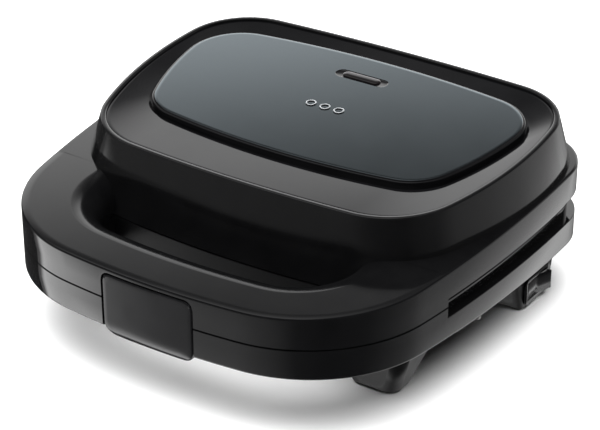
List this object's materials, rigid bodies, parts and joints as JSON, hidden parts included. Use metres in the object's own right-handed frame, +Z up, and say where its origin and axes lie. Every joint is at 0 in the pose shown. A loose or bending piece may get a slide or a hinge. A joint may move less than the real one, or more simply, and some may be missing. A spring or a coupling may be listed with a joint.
{
  "type": "donut maker",
  "caption": "Closed hinged donut maker with a loop handle at the front, a flip-down latch, a dished lid with a metal inlay, legs with a rocker switch, and ring moulds inside.",
  "frame": {"origin": "on the table, under the middle of the appliance's outline", "axes": "+X to the right, -Y to the front where the handle and the latch are, +Z up"},
  "size_m": [0.26, 0.2548, 0.1036],
  "materials": {
    "shell_black": "gloss black moulded plastic with a satin dome",
    "latch_black": "polished black plastic",
    "cover_black": "fine matt black plastic",
    "dish_black": "gloss black plastic",
    "inlay_metal": "polished grey metal",
    "lens_smoke": "dark smoked lens",
    "lamp_amber": "translucent amber",
    "badge_grey": "satin light grey",
    "coated_aluminium": "dark non-stick coating on cast aluminium",
    "element_steel": "heat-tinted steel sheath",
    "reflector_steel": "bright pressed sheet",
    "plated_steel": "zinc-plated steel",
    "screw_steel": "plated steel screws",
    "spring_steel": "spring steel wire",
    "foot_rubber": "soft grey-black rubber",
    "switch_black": "black switch plastic",
    "gland_black": "soft black rubber",
    "terminal_white": "off-white plastic",
    "board_green": "circuit board",
    "thermostat_ceramic": "thermostat body"
  },
  "bodies": {
    "base": {"base_shell": "shell_black", "base_handle_cover": "cover_black", "bottom_cover": "cover_black", "rubber_feet": "foot_rubber", "lower_plate_frame": "cover_black", "lower_donut_plate": "coated_aluminium", "lower_heating_element": "element_steel", "lower_reflector": "reflector_steel", "lower_element_clamp": "plated_steel", "lower_thermostat": "thermostat_ceramic", "thermal_fuse": "plated_steel", "cover_screws": "screw_steel", "base_frame_screws": "screw_steel", "lower_clamp_screw": "screw_steel", "base_hinge_left": "plated_steel", "base_hinge_right": "plated_steel", "hinge_pins": "plated_steel", "latch_catch": "cover_black", "switch_bezel": "switch_black", "cord_gland": "gland_black", "terminal_block": "terminal_white"},
    "lid": {"lid_shell": "shell_black", "lid_handle_cover": "cover_black", "upper_plate_frame": "cover_black", "upper_donut_plate": "coated_aluminium", "upper_heating_element": "element_steel", "upper_reflector": "reflector_steel", "upper_element_clamp": "plated_steel", "upper_thermostat": "thermostat_ceramic", "lid_frame_screws": "screw_steel", "upper_clamp_screw": "screw_steel", "top_dish": "dish_black", "inlay_plate": "inlay_metal", "indicator_lens": "lens_smoke", "badge_rings": "badge_grey", "lamp_board": "board_green", "pilot_lamp": "lamp_amber", "lid_hinge_left": "plated_steel", "lid_hinge_right": "plated_steel", "latch_pin": "plated_steel", "latch_spring": "spring_steel"},
    "latch": {"latch": "latch_black"},
    "rocker": {"power_rocker": "switch_black"}
  },
  "joints": [
    {"name": "lid_hinge", "type": "hinge", "parent": "base", "child": "lid", "pos_m": [0, 0.1218, 0.0526], "axis": [-1, 0, 0], "range_deg": [0, 100], "deforming": ["latch_catch"]},
    {"name": "latch_pivot", "type": "hinge", "parent": "lid", "child": "latch", "pos_m": [0, -0.1243, 0.0646], "axis": [-1, 0, 0], "range_deg": [0, 20], "stiffness_Nm_per_rad": 0.06, "springref_deg": -14.32},
    {"name": "rocker_pivot", "type": "hinge", "parent": "base", "child": "rocker", "pos_m": [0.117, 0.0703, 0.0106], "axis": [0, 0, 1], "range_deg": [0, 22]}
  ]
}
